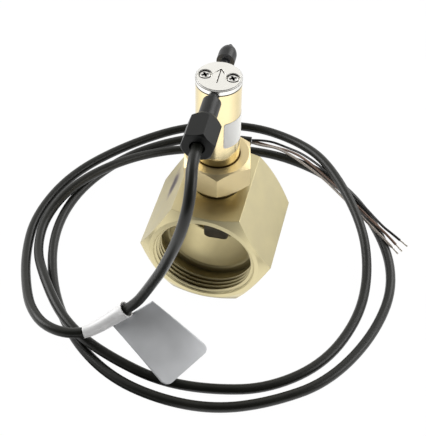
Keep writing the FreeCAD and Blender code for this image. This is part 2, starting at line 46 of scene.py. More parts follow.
MM = 0.001
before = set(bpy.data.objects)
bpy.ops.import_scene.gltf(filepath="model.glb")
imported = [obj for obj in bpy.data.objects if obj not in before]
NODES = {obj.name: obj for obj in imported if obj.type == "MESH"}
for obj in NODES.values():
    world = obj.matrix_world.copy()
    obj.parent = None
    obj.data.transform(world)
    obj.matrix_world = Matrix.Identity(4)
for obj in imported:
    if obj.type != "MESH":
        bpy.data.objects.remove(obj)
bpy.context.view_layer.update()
TEE_LOW, TEE_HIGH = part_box("tee_body")
HEAD_LOW, HEAD_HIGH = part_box("head_housing")
TEE_AXIS_Z = (TEE_LOW.z + TEE_HIGH.z) / 2
HEAD_R = (HEAD_HIGH.x - HEAD_LOW.x) / 2
NECK_TOP_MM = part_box("neck_bushing")[1].z * 1000
CAP_TOP_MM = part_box("cap_plate")[1].z * 1000
HEAD_TURN = 2.0             # of the head against the tee, in degrees
SCREW_X = 6.0 * MM          # of each cap screw from the head's axis
HEAD_EDGE_MM = (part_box("cap_screws")[1].x - SCREW_X) * 1000     # radius of a screw's head

# Places of the marks in the finishes, in millimetres. Radii and lengths along the cartridge are from the
# head's axis.
MASK_BLUR_MM = 0.03         # half of the width over which a mask changes
ALL_RADII = -1              # an inner radius that leaves out nothing
CAP_RIM_MM = 9.3            # radius outside which the cap is bevel and rim
PAST_CAP_MM = 12.0          # a radius beyond the cap
ARROW_SHADE_MM = (1.6, 1.8)  # to each side, where the painted shade in the arrow fades out
ARROW_TIP_MM = (2.84, 2.86)     # to each side, where the arrow's barbs have ended
BEVEL_SHADE_LINES_MM = ((0.17, 0.03), (0.68, 0.52))       # depths below the cap's top of the painted shade lines on its bevel
CROSS_ARM_MM = 1.6          # reach of each arm of a screw's cross
CROSS_HALF_MM = 0.52        # half of an arm's width
CROSS_TURN = 30.0           # of the crosses against the head, in degrees
FRONT_TUBE_MM = (-12.0, -11.0)      # along the cartridge, where its front tube ends
REAR_SHOULDER_MM = 13.8     # along the cartridge
PATCH_SPOT_MM, PATCH_SIZE_MM = (-22.4, 4.5, 45), (3.4, 11.5, 5.8)

# The camera, solved from the corners of the two hexagons: place in metres, angles in degrees and lens in
# millimetres.
CAMERA_SPOT = (0.07591, -0.32777, 0.38939)
CAMERA_HEADING, CAMERA_DOWN, CAMERA_ROLL = 13.29, 46.85, 1.02
CAMERA_LENS = 84.02

# Lamps, as name, place, size in metres and power in watts.
LAMPS = (("key", (-1.0, 0.1, 0.65), 0.7, 6.5), ("fill", (1.0, 0.1, 0.55), 0.6, 4.0),
         ("back", (0.5, 0.75, 0.6), 0.6, 3.0))
LAMP_TARGET = (0, 0, 0.05)

# The floor's glow, in strengths and metres: it grows towards the front where metal mirrors it, and a dark
# card on its left is only mirrored, in the hanging cable. The room is darker behind the camera.
GLOW, GLOW_FRONT, FRONT_REACH = 1.02, 0.5, 0.06
GLOW_SEEN, GLOW_MIRRORED = 0.97, 0.85       # shares of glow, against diffuse white
CARD_SPOT, CARD_RADII, CARD_GLOW = (-0.030, -0.100, 0), (0.025, 0.045), 0.03
DARK_SIDE, DARK_STRENGTH = (0.16, -0.66, 0.73), 0.04

# The cable's centre line after its first straight run out of the gland nut, in millimetres.
CABLE_ROUTE = [
    (3.6, -59.5, 111.5), (4, -65.3, 105.3), (2.6, -68.2, 97), (0, -68.5, 87), (-4, -67, 74.5),
    (-8.5, -64.5, 61.5), (-13.5, -61.5, 49), (-18, -59, 38), (-22.5, -58, 28.5), (-30, -59.5, 20.5),
    (-42.5, -69, 14), (-52, -72, 13.6), (-62, -70.5, 13.2), (-70.5, -64.5, 11.5), (-80, -52, 7.5),
    (-92.5, -24, 2.5), (-97.5, 4, 2.5), (-89.5, 38, 2.5), (-66.5, 68.5, 2.5), (-38, 92, 2.5),
    (-3, 101, 2.5), (27, 90, 6), (46, 72, 9.8), (68.5, 35, 9.6), (76.5, 7.5, 4), (76, -21, 2.5),
    (64.5, -51, 2.5), (42, -71, 2.5), (16.5, -78, 2.5), (-7, -79, 2.5), (-29, -74.5, 5),
    (-47, -68.5, 8), (-62, -57, 8), (-76.5, -38.5, 8), (-88, -19, 3.5), (-91.5, 3, 4),
    (-83.5, 25, 8.3), (-65, 49, 8), (-42.5, 69, 3.5), (-11, 79.5, 2.5), (19.5, 81, 2.5),
    (52.5, 68.5, 2.5), (78.5, 38, 2.5), (90, 5, 2.5), (84.5, -29, 2.5), (68, -60.5, 2.5),
    (45, -77.5, 2.5), (21.5, -87.5, 2.5), (-4.5, -88.5, 2.5), (-30.5, -82, 2.5), (-54.5, -64.5, 2.5),
    (-73, -38.5, 2.5), (-84.5, -5, 2.5), (-82, 27.5, 2.5), (-66.5, 57, 2.5), (-45, 76.5, 2.5),
    (-23, 86.5, 2.5), (-1, 88, 2.5)]
GLAND_EXIT = (1.47276, -42.17429, 115)
GLAND_FIRST_RUN = (1.77987, -50.96893, 115)
WIRE_ROUTES = {
    "wire_black": [(-0.7, 88, 3.35), (4, 88.8, 3.7), (11, 90.8, 2.2), (19, 89, 1.6), (28, 83.8, 4.2),
                   (39.2, 74.8, 6.3), (51.5, 65.3, 6), (66.5, 51.6, 6), (78.7, 38.7, 5.9),
                   (84.5, 35.8, 4.6), (89, 33.4, 3.4)],
    "wire_brown": [(-0.7, 88.75, 2.1), (5, 88.7, 1.4), (13, 87, 2), (21.5, 83.4, 4.6), (30.1, 78.2, 6.3),
                   (42.1, 69.2, 6), (56.7, 56.6, 6), (67.2, 46.5, 6), (77, 37.6, 6), (82.3, 33, 5.8),
                   (87.2, 28.9, 4.6)],
    "wire_grey": [(-0.7, 87.25, 2.1), (5, 86.6, 1.8), (14, 83.8, 4.9), (23, 78.5, 6.4), (31.5, 73.4, 6.2),
                  (42.3, 66.4, 6), (55.8, 54, 6), (66, 44, 6), (75, 35.3, 6), (80.4, 30.6, 6),
                  (85.4, 26.3, 5)],
}
BARE_START, BARE_END = -0.3 * MM, 4.9 * MM          # of the strands, along from a core's end
STRAND_LAY = 9 * MM         # length of one turn of the strands' helix

# The wrap's two ends on the cable, and the flag's root and free edge, in millimetres.
WRAP_ENDS = ((-27.3, -58.6, 23.3), (-44.8, -69.4, 14.0))
FLAG_ROOT = ((-32.7, -64.4, 16.6), (-16.8, -52.2, 24.6))
FLAG_TIP = ((-1.6, -84.8, 7.0), (12.2, -59.3, 7.0))

# The pipe threads' ends and hidden back, as distances.
THREAD_START = 0.35 * MM    # behind the mouth's face
FADE_IN, FADE_OUT = 1.1 * MM, 0.5 * MM
THREAD_GAP, THREAD_BACK = 0.02 * MM, 0.25 * MM      # inside and outside the threads' major radius


# ------------------------------------------------------------------------------------ sizes and colours
def length(name, text, default, low=0.0, high=1.0):
    return FloatProperty(name=name, description=text, default=default, min=low, max=high, subtype="DISTANCE",
                         unit="LENGTH", precision=5)


class SwitchSizes(bpy.types.PropertyGroup):
    """Sizes of the pieces that are made here."""
    pipe_pitch: length("Pipe thread pitch", "Pitch of the threads in the tee's mouths", 2.309 * MM)
    pipe_depth: length("Pipe thread depth", "Height of the threads in the tee's mouths", 1.479 * MM)
    pipe_major_r: length("Pipe thread major radius", "Radius at the threads' roots", 23.9015 * MM)
    pipe_length: length("Pipe thread length", "Threaded depth of each mouth", 9.9 * MM)
    label_low: length("Label's lower edge", "Height of the label's lower edge", 85.2 * MM)
    label_high: length("Label's upper edge", "Height of the label's upper edge", 99.2 * MM)
    label_width: length("Label's width", "Width of the label along its curve", 25.0 * MM)
    label_start: FloatProperty(name="Label's left edge", default=-62.0,
                               description="Angle of the label's left edge about the head, in degrees")
    label_corner: length("Label's corner radius", "Radius of the label's corners", 1.2 * MM)
    film: length("Film thickness", "Thickness of label and tag film", 0.12 * MM)
    cable_d: length("Cable diameter", "Diameter of the cable's sheath", 4.8 * MM)
    core_d: length("Core diameter", "Diameter of each insulated core", 1.3 * MM)
    wrap_inner: length("Wrap's inner radius", "Inner radius of the tag's wrap", 2.5 * MM)
    wrap_wall: length("Wrap's wall", "Thickness of the tag's wrap", 0.4 * MM)
    wrap_flare: FloatProperty(name="Wrap's flare", default=0.42,
                              description="Share by which the wrap widens to its open end")
    flag_corner: length("Flag's corner radius", "Radius of the flag's free corners", 4.0 * MM)
    strand_d: length("Strand diameter", "Diameter of one copper strand", 0.26 * MM)
    strand_count: IntProperty(name="Strands", description="Strands in each bare end", default=7, min=3,
                              max=19)


def colour(name, text, default):
    return StringProperty(name=name, description=text, default=default)


class SwitchColours(bpy.types.PropertyGroup):
    """Colours, as sRGB hex values."""
    tee: colour("Tee brass", "Satin brass of the tee", "CFC49B")
    neck: colour("Neck brass", "Brass of the neck bushing", "D8C79B")
    head: colour("Head brass", "Polished brass of the head", "EEDDAF")
    nickel: colour("Nickel", "Plating of the cap", "F4F3EE")
    steel: colour("Stainless steel", "Screws, pin and arm", "E6E5E1")
    black: colour("Black moulding", "Cartridge", "1A1B1C")
    nut: colour("Black nut", "Gland nut", "0B0D0C")
    sheath: colour("Sheath", "Cable sheath", "1A1B17")
    paddle: colour("Paddle", "Moulded paddle", "6E685E")
    tag: colour("Tag film", "Back of the tag's film", "CBCDD0")
    wrap: colour("Wrap film", "Film round the cable", "FAFAFC")
    label: colour("Label film", "Face of the head's label", "F6F6F3")
    core_black: colour("Black core", "Insulation", "1C1D1E")
    core_brown: colour("Brown core", "Insulation", "6F5546")
    core_grey: colour("Grey core", "Insulation", "9A928A")
    copper: colour("Tinned copper", "Bare strands", "CFC9C0")
    glass: colour("Glass", "Reed capsule", "CFE3D8")
    rubber: colour("Rubber", "O-ring and seal", "151515")
    magnet: colour("Magnet", "Sintered magnet", "4B4B4E")
    floor: colour("Floor", "Pale table", "F4F4F4")
    patch_edge: colour("Patch's edge", "Outer part of the dark patch on the tee", "7D6873")
    patch_core: colour("Patch's core", "Inner part of the dark patch on the tee", "3A302C")
    # Painted shade on the cap: in its arrow, along its bevel and under its rim.
    arrow_shade: colour("Arrow's shade", "Painted shade in the cap's arrow", "3A3531")
    bevel_shade_line: colour("Bevel lines", "Painted shade lines along the cap's bevel", "5A5753")
    cap_joint_shade: colour("Cap joint", "Painted shade in the joint under the cap's rim", "1E1812")
    # Painted shade in a ring on the neck where the head stands on it.
    seat_shade: colour("Seat dirt", "Painted shade where the head stands on the neck", "35200A")
    # Painted shade on the cap screws' heads: their sides, rims and cross recesses.
    screw_side_shade: colour("Screw's side", "Side of a cap screw's head", "3A3632")
    screw_rim_shade: colour("Screw's rim", "Rim of a cap screw's head", "2A2724")
    cross_mouth_shade: colour("Cross mouth", "Mouth of a cap screw's recess", "0C0B0A")
    # Painted shade on the cartridge's front tube, and painted light on its rear shoulder.
    front_tube_shade: colour("Front tube", "Front tube of the cartridge", "090B0A")
    shoulder: colour("Shoulder", "Flat shoulder of the cartridge's rear end", "5C5C5E")


# ------------------------------------------------------------------------------------ mesh helpers
def grid_mesh(name, points, closed_rows=False, closed_columns=False, smooth=True):
    """One quad surface through an (rows, columns, 3) array of points. A closed direction joins its last line
    to its first, so a surface closed both ways is a torus and needs no caps."""
    rows, columns = points.shape[:2]
    index = np.arange(rows * columns).reshape(rows, columns)
    if closed_rows:
        index = np.vstack([index, index[:1]])
    if closed_columns:
        index = np.hstack([index, index[:, :1]])
    quads = np.stack([index[:-1, :-1], index[1:, :-1], index[1:, 1:], index[:-1, 1:]], -1).reshape(-1, 4)
    mesh = bpy.data.meshes.new(name)
    mesh.from_pydata(points.reshape(-1, 3), [], quads)
    mesh.polygons.foreach_set("use_smooth", np.full(len(quads), smooth))
    mesh.validate()
    mesh.update()
    piece = bpy.data.objects.new(name, mesh)
    bpy.context.scene.collection.objects.link(piece)
    return piece


def signed_volume(piece):
    """Six times the sum of every triangle's tetrahedron with the origin: below 0 if faces point in."""
    mesh = piece.data
    mesh.calc_loop_triangles()
    corners = np.empty(len(mesh.loop_triangles) * 3, np.int32)
    mesh.loop_triangles.foreach_get("vertices", corners)
    spots = np.empty(len(mesh.vertices) * 3)
    mesh.vertices.foreach_get("co", spots)
    a, b, c = spots.reshape(-1, 3)[corners].reshape(-1, 3, 3).transpose(1, 0, 2)
    return float((a * np.cross(b, c)).sum())


def face_out(piece):
    """Turns a closed surface's faces outwards."""
    if signed_volume(piece) < 0:
        piece.data.flip_normals()
    return piece


def section_sweep(centres, radii_out, radii_in, name, around=40):
    """A hollow tube: at each centre, a ring of the outer radius; then back along the inner radius. The rings'
    frames come from a fixed direction made square to the tangent."""
    tangent = np.gradient(centres, axis=0)
    tangent /= np.linalg.norm(tangent, axis=1, keepdims=True)
    side = np.cross(tangent, np.array([0.0, 0.0, 1.0]))
    side /= np.linalg.norm(side, axis=1, keepdims=True)
    lift = np.cross(side, tangent)
    angle = np.linspace(0, 2 * np.pi, around, endpoint=False)
    ring = side[:, None] * np.cos(angle)[None, :, None] + lift[:, None] * np.sin(angle)[None, :, None]
    outer = centres[:, None] + ring * radii_out[:, None, None]
    inner = centres[:, None] + ring * radii_in[:, None, None]
    return face_out(grid_mesh(name, np.concatenate([outer, inner[::-1]]), True, True))


def linear(code):
    """sRGB hex to linear RGBA."""
    srgb = np.array([int(code[i:i + 2], 16) for i in (0, 2, 4)]) / 255
    rgb = np.where(srgb <= 0.04045, srgb / 12.92, ((srgb + 0.055) / 1.055) ** 2.4)
    return (*rgb.tolist(), 1.0)


# ------------------------------------------------------------------------------------ material helpers
def add(tree, kind, settings=None, values=None, links=None):
    """Adds a node, sets its properties and its sockets' values, and links its inputs to outputs."""
    node = tree.nodes.new(kind)
    for name, value in (settings or {}).items():
        setattr(node, name, value)
    for socket, value in (values or {}).items():
        node.inputs[socket].default_value = value
    for socket, source in (links or {}).items():
        tree.links.new(source, node.inputs[socket])
    return node


def blank(name):
    """A new material with one Principled shader, and its Object coordinates."""
    material = bpy.data.materials.new(name)
    material.use_nodes = True
    tree = material.node_tree
    tree.nodes.clear()
    shader = add(tree, "ShaderNodeBsdfPrincipled")
    add(tree, "ShaderNodeOutputMaterial", links={"Surface": shader.outputs[0]})
    where = add(tree, "ShaderNodeTexCoord").outputs["Object"]
    return material, tree, shader, where


def ramp(tree, source, low, high, out_low, out_high):
    """Maps source from low..high to out_low..out_high, clamped."""
    return add(tree, "ShaderNodeMapRange", values={"From Min": low, "From Max": high, "To Min": out_low,
               "To Max": out_high}, links={"Value": source}).outputs["Result"]


def maths(tree, operation, *terms):
    """A Math node's result. Each term is a number or an output."""
    node = add(tree, "ShaderNodeMath", {"operation": operation})
    for socket, term in zip(node.inputs, terms):
        if isinstance(term, (int, float)):
            socket.default_value = term
        else:
            tree.links.new(term, socket)
    return node.outputs[0]


def vector(tree, operation, source, other=None):
    """A Vector Math node's result, from an output and, where the operation takes one, a fixed vector."""
    values = {1: other} if other else None
    node = add(tree, "ShaderNodeVectorMath", {"operation": operation}, values, {0: source})
    single = operation in ("LENGTH", "DISTANCE", "DOT_PRODUCT")
    return node.outputs["Value" if single else "Vector"]


def component(tree, source, axis):
    """One of a vector's X, Y and Z."""
    return add(tree, "ShaderNodeSeparateXYZ", links={0: source}).outputs[axis]


def from_axis(tree, where):
    """Distance from the Z axis."""
    return vector(tree, "LENGTH", vector(tree, "MULTIPLY", where, (1, 1, 0)))


def placed(tree, where, spot, size, turn=0.0):
    """The point as seen from a box with its own middle, size and turn about Z."""
    return add(tree, "ShaderNodeMapping", {"vector_type": "TEXTURE"},
               {"Location": spot, "Rotation": (0, 0, turn), "Scale": size}, {"Vector": where}).outputs[0]


def noise(tree, where, scale, detail=2.0, roughness=0.5):
    """Grey clouds, scale of them to a metre."""
    return add(tree, "ShaderNodeTexNoise", values={"Scale": scale, "Detail": detail, "Roughness": roughness},
               links={"Vector": where}).outputs["Fac"]


def bumped(tree, shader, height, strength, depth, edge_mm=None):
    """Gives a shader a bump, over edges that edge_mm softens."""
    bump = add(tree, "ShaderNodeBump", values={"Strength": strength, "Distance": depth},
               links={"Height": height})
    if edge_mm:
        edge = add(tree, "ShaderNodeBevel", {"samples": 4}, {"Radius": edge_mm * MM}).outputs[0]
        tree.links.new(edge, bump.inputs["Normal"])
    tree.links.new(bump.outputs[0], shader.inputs["Normal"])


def mixed(tree, factor, colour_a, colour_b):
    """Mixes two colours, each a hex code or an output. They are inputs 6 and 7 of a colour Mix node."""
    node = add(tree, "ShaderNodeMix", {"data_type": "RGBA"}, links={"Factor": factor})
    for socket, value in ((node.inputs[6], colour_a), (node.inputs[7], colour_b)):
        if isinstance(value, str):
            socket.default_value = linear(value)
        else:
            tree.links.new(value, socket)
    return node.outputs[2]


def blend(tree, factor, plain, other):
    """Goes from an output to a number as factor goes from 0 to 1. They are inputs 2 and 3 of the node."""
    node = add(tree, "ShaderNodeMix", {"data_type": "FLOAT"}, {3: other}, {0: factor, 2: plain})
    return node.outputs[0]


def between(tree, source, rise, fall):
    """0 up to 1 over the two values of rise, and back down to 0 over those of fall."""
    up = ramp(tree, source, *rise, 0.0, 1.0)
    return maths(tree, "MULTIPLY", up, ramp(tree, source, *fall, 1.0, 0.0))


def palette():
    """The colours as they are set."""
    return bpy.context.scene.switch_colours


def dark_patch(tree, where, cloud, tone):
    """A small ragged dark purple-brown patch on one flat: distance in a stretched box about its middle."""
    spot, size = ([c * MM for c in three] for three in (PATCH_SPOT_MM, PATCH_SIZE_MM))
    ragged = maths(tree, "ADD", vector(tree, "LENGTH", placed(tree, where, spot, size)), cloud)
    tone = mixed(tree, ramp(tree, ragged, 0.9, 1.55, 0.9, 0.0), tone, palette().patch_edge)
    return mixed(tree, ramp(tree, ragged, 0.75, 1.3, 0.95, 0.0), tone, palette().patch_core)


def band(tree, where, low_mm, high_mm, inner_mm, outer_mm):
    """1 between two heights and between two radii about the head's axis, else 0."""
    masks = []
    for source, *edges in ((component(tree, where, "Z"), low_mm, high_mm),
                           (from_axis(tree, where), inner_mm, outer_mm)):
        rise, fall = ([(edge - MASK_BLUR_MM) * MM, (edge + MASK_BLUR_MM) * MM] for edge in edges)
        masks.append(between(tree, source, rise, fall))
    return maths(tree, "MULTIPLY", *masks)


def cap_band(tree, where, low_mm, high_mm, inner_mm=CAP_RIM_MM, outer_mm=PAST_CAP_MM):
    """A band between two depths below the cap's top, by default on its bevel and rim."""
    return band(tree, where, CAP_TOP_MM - low_mm, CAP_TOP_MM - high_mm, inner_mm, outer_mm)


def painted_cap_shade(tree, where, cloud, tone):
    """Painted shade in the cap's arrow, in two lines along its bevel and along the joint under its rim."""
    # Painted shade in the cap's arrow recess.
    sideways = component(tree, vector(tree, "ABSOLUTE", where), "X")
    near, far = ARROW_SHADE_MM
    arrow = maths(tree, "MULTIPLY", ramp(tree, sideways, near * MM, far * MM, 1.0, 0.0),
                  cap_band(tree, where, 0.3, 0.1, ALL_RADII, 5.0))
    tone = mixed(tree, arrow, tone, palette().arrow_shade)
    # Two painted shade lines along the cap's bevel: a painted reflection of the dark room.
    for low, high in BEVEL_SHADE_LINES_MM:
        tone = mixed(tree, cap_band(tree, where, low, high), tone, palette().bevel_shade_line)
    # Painted shade along the joint under the cap's rim.
    return mixed(tree, cap_band(tree, where, 4, 2.4), tone, palette().cap_joint_shade)


def shaded_seat(tree, where, cloud, tone):
    """Painted shade in a ring on top of the neck, where the head stands on it."""
    ring = band(tree, where, NECK_TOP_MM - 0.3, NECK_TOP_MM + 0.1, 9.5, 10.55)
    return mixed(tree, ring, tone, palette().seat_shade)


def matte_edges(tree, where):
    """Where the plating is matte: the cap's bevel and the upper part of its screw recesses' walls."""
    sideways = component(tree, vector(tree, "ABSOLUTE", where), "X")
    near, far = ARROW_TIP_MM
    past_arrow = ramp(tree, sideways, near * MM, far * MM, 0.0, 1.0)
    walls = maths(tree, "MULTIPLY", past_arrow, cap_band(tree, where, 0.62, 0.04, 2.7, 9.25))
    return maths(tree, "MAXIMUM", cap_band(tree, where, 0.64, 0.02), walls)


def shaded_screw_heads(tree, where, cloud, tone):
    """Painted shade on each screw's head: dark side and rim, and dark mouth of its cross recess: inside an
    arm where, with x and y about the screw, max(|x| / arm, |y| / half) or max(|y| / arm, |x| / half) is under
    1."""
    heads = band(tree, where, 0, CAP_TOP_MM - 0.6, ALL_RADII, PAST_CAP_MM)
    tone = mixed(tree, heads, tone, palette().screw_side_shade)
    turn = math.radians(HEAD_TURN)
    for side in (-1, 1):
        spot = (side * SCREW_X * math.cos(turn), side * SCREW_X * math.sin(turn), 0)
        local = placed(tree, where, spot, (MM, MM, MM), turn + math.radians(CROSS_TURN))
        size = vector(tree, "ABSOLUTE", local)
        x, y = component(tree, size, "X"), component(tree, size, "Y")
        arms = []
        for a, b in ((x, y), (y, x)):
            reach, half = maths(tree, "DIVIDE", a, CROSS_ARM_MM), maths(tree, "DIVIDE", b, CROSS_HALF_MM)
            arms.append(maths(tree, "MAXIMUM", reach, half))
        rim = between(tree, from_axis(tree, local), (HEAD_EDGE_MM - 0.36, HEAD_EDGE_MM - 0.28),
                      (HEAD_EDGE_MM + 0.4, HEAD_EDGE_MM + 0.5))
        tone = mixed(tree, rim, tone, palette().screw_rim_shade)
        cross = ramp(tree, maths(tree, "MINIMUM", *arms), 0.95, 1.05, 1.0, 0.0)
        tone = mixed(tree, cross, tone, palette().cross_mouth_shade)
    return tone


def shaded_tube_lit_shoulder(tree, where, cloud, tone):
    """Painted shade makes the front tube blacker than the rear end; painted light makes the flat shoulder
    palest.
    """
    turn = math.radians(HEAD_TURN)
    along = vector(tree, "DOT_PRODUCT", where, (-math.sin(turn), math.cos(turn), 0))
    front, back = FRONT_TUBE_MM
    tone = mixed(tree, ramp(tree, along, front * MM, back * MM, 1.0, 0.0), tone, palette().front_tube_shade)
    rise, fall = ([(REAR_SHOULDER_MM + off) * MM for off in pair] for pair in ((-0.3, -0.25), (0.05, 0.1)))
    return mixed(tree, between(tree, along, rise, fall), tone, palette().shoulder)


def shade(code, by):
    """A hex colour made lighter or darker by a factor."""
    parts = [min(255, max(0, round(int(code[i:i + 2], 16) * by))) for i in (0, 2, 4)]
    return "%02X%02X%02X" % tuple(parts)


def turned_metal(name, code, axis, roughness, line_mm, depth_mm, edge_mm=0.25, marks=None, corner_shade=None,
                 bore=None, matte=None):
    """Bare metal with fine lines square to or along one axis. axis is the direction across which the lines
    repeat: for a turned part the one it spun about, for drawn bar any direction across the bar. marks changes
    the tone in some places, partly with painted shade. corner_shade is the reach in mm, the colour and the
    most of the painted shade that ambient occlusion lays in corners. bore is the radius in mm about the tee's
    axis inside which the metal has another roughness. matte says where it has no metal's sheen."""
    material, tree, shader, where = blank(name)
    stretch = [1 / (40 * MM)] * 3
    for a in axis:
        stretch["xyz".index(a)] = 1 / (line_mm * MM)
    lines_at = add(tree, "ShaderNodeMapping", values={"Scale": stretch}, links={"Vector": where}).outputs[0]
    lines = noise(tree, lines_at, 1.0, 3.0, 0.6)
    cloud = noise(tree, where, 1 / (9 * MM), 4.0, 0.55)
    tone = mixed(tree, ramp(tree, cloud, 0.35, 0.7, 0.0, 1.0), shade(code, 0.985), shade(code, 1.015))
    if marks:
        tone = marks(tree, where, cloud, tone)
    if corner_shade:
        # Painted shade: the tone turns towards the given colour where ambient occlusion finds surfaces close
        # by.
        reach, shading, most = corner_shade
        open_air = add(tree, "ShaderNodeAmbientOcclusion", {"samples": 8}, {"Distance": reach * MM})
        tone = mixed(tree, ramp(tree, open_air.outputs["AO"], 0.35, 0.85, most, 0.0), tone, shading)
    tree.links.new(tone, shader.inputs["Base Color"])
    shader.inputs["Metallic"].default_value = 1.0
    if matte:
        tree.links.new(maths(tree, "SUBTRACT", 1.0, matte(tree, where)), shader.inputs["Metallic"])
    uneven = maths(tree, "MULTIPLY_ADD", lines, 0.5, cloud)
    rough = ramp(tree, uneven, 0.4, 1.1, roughness * 0.85, roughness * 1.2)
    if bore:
        inside, dull = bore
        flat = add(tree, "ShaderNodeVectorMath", {"operation": "MULTIPLY_ADD"},
                   {1: (1, 0, 1), 2: (0, 0, -TEE_AXIS_Z)}, {0: where}).outputs[0]
        far = vector(tree, "LENGTH", flat)
        rough = blend(tree, ramp(tree, far, inside * MM, (inside + 0.3) * MM, 1.0, 0.0), rough, dull)
    tree.links.new(rough, shader.inputs["Roughness"])
    bumped(tree, shader, lines, 0.35, depth_mm * MM, edge_mm)
    return material


def moulded(name, code, roughness, grain_mm, depth_mm, sheen_mm=6.0, ior=1.5, edge_mm=0.2, marks=None):
    """Moulded or extruded polymer: fine spark-eroded grain, and a slow change of gloss where it was handled.
    marks changes the tone in some places."""
    material, tree, shader, where = blank(name)
    grain = noise(tree, where, 1 / (grain_mm * MM))
    cloud = noise(tree, where, 1 / (sheen_mm * MM), 3.0)
    tone = mixed(tree, ramp(tree, cloud, 0.35, 0.7, 0.0, 1.0), shade(code, 0.92), shade(code, 1.1))
    if marks:
        tone = marks(tree, where, cloud, tone)
    tree.links.new(tone, shader.inputs["Base Color"])
    rough = ramp(tree, cloud, 0.3, 0.7, roughness * 0.88, roughness * 1.12)
    tree.links.new(rough, shader.inputs["Roughness"])
    shader.inputs["IOR"].default_value = ior
    bumped(tree, shader, grain, 0.3, depth_mm * MM, edge_mm)
    return material


def extruded_sheath(name, code):
    """Extruded PVC sheath: satin, slightly uneven, with a soft long highlight."""
    return moulded(name, code, roughness=0.34, grain_mm=0.5, depth_mm=0.02, sheen_mm=12.0, ior=1.42)


def film(name, code, roughness, metallic, wrinkle_mm):
    """Polyester film: nearly flat, with slow waves where it was pressed on by hand."""
    material, tree, shader, where = blank(name)
    wave = noise(tree, where, 1 / (wrinkle_mm * MM))
    tone = mixed(tree, ramp(tree, wave, 0.3, 0.7, 0.0, 1.0), shade(code, 0.95), shade(code, 1.04))
    tree.links.new(tone, shader.inputs["Base Color"])
    shader.inputs["Roughness"].default_value = roughness
    shader.inputs["Metallic"].default_value = metallic
    bumped(tree, shader, wave, 0.25, 0.3 * MM)
    return material


def paint(piece, material):
    """Gives a piece or a CAD node its one material."""
    piece.data.materials.clear()
    piece.data.materials.append(material)
    return piece


def dress(material, *nodes):
    """Gives CAD nodes one material."""
    for node in nodes:
        paint(NODES[node], material)


